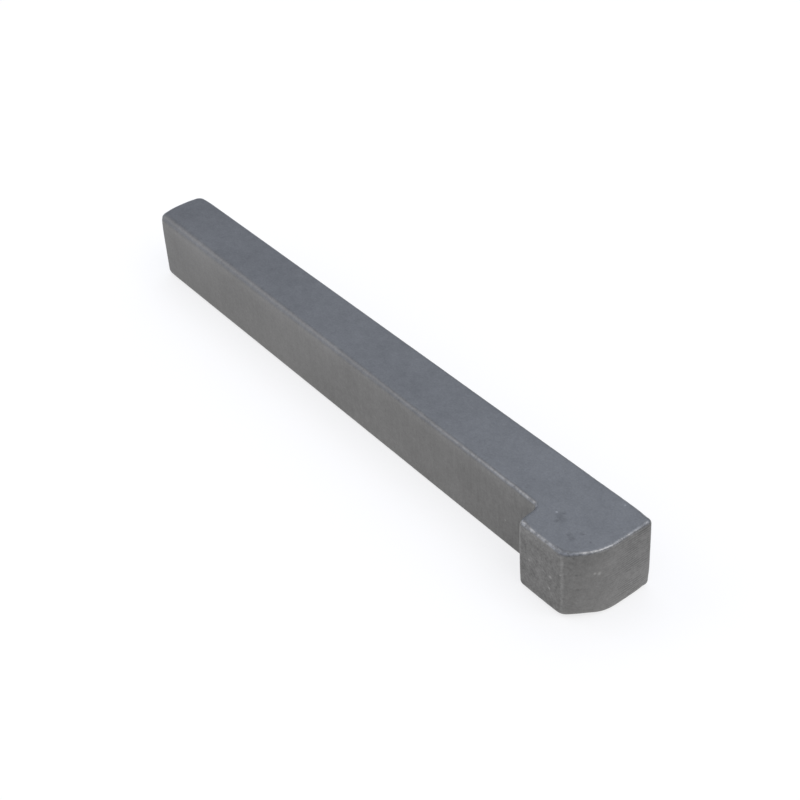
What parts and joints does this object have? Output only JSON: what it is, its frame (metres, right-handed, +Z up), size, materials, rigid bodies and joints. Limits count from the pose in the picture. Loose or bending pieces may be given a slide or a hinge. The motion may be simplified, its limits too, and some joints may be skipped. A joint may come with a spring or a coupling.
{
  "type": "gib head key",
  "caption": "Tapered steel shaft key with an overhanging head at its thick end, driven into a keyway to lock a hub and drawn out again by its head.",
  "frame": {"origin": "centre of the bounding box's base, under the key as it lies on one flank", "axes": "+X along the key towards its head, +Y out of the plain face, -Y out of the tapered face, the way the head overhangs, +Z up, across the key's width"},
  "size_m": [0.09, 0.0112, 0.01],
  "materials": {
    "steel": "satin bare steel, tumbled, with fine grinding marks and small nicks"
  },
  "bodies": {
    "root": {"gib_head_key": "steel"}
  },
  "joints": []
}
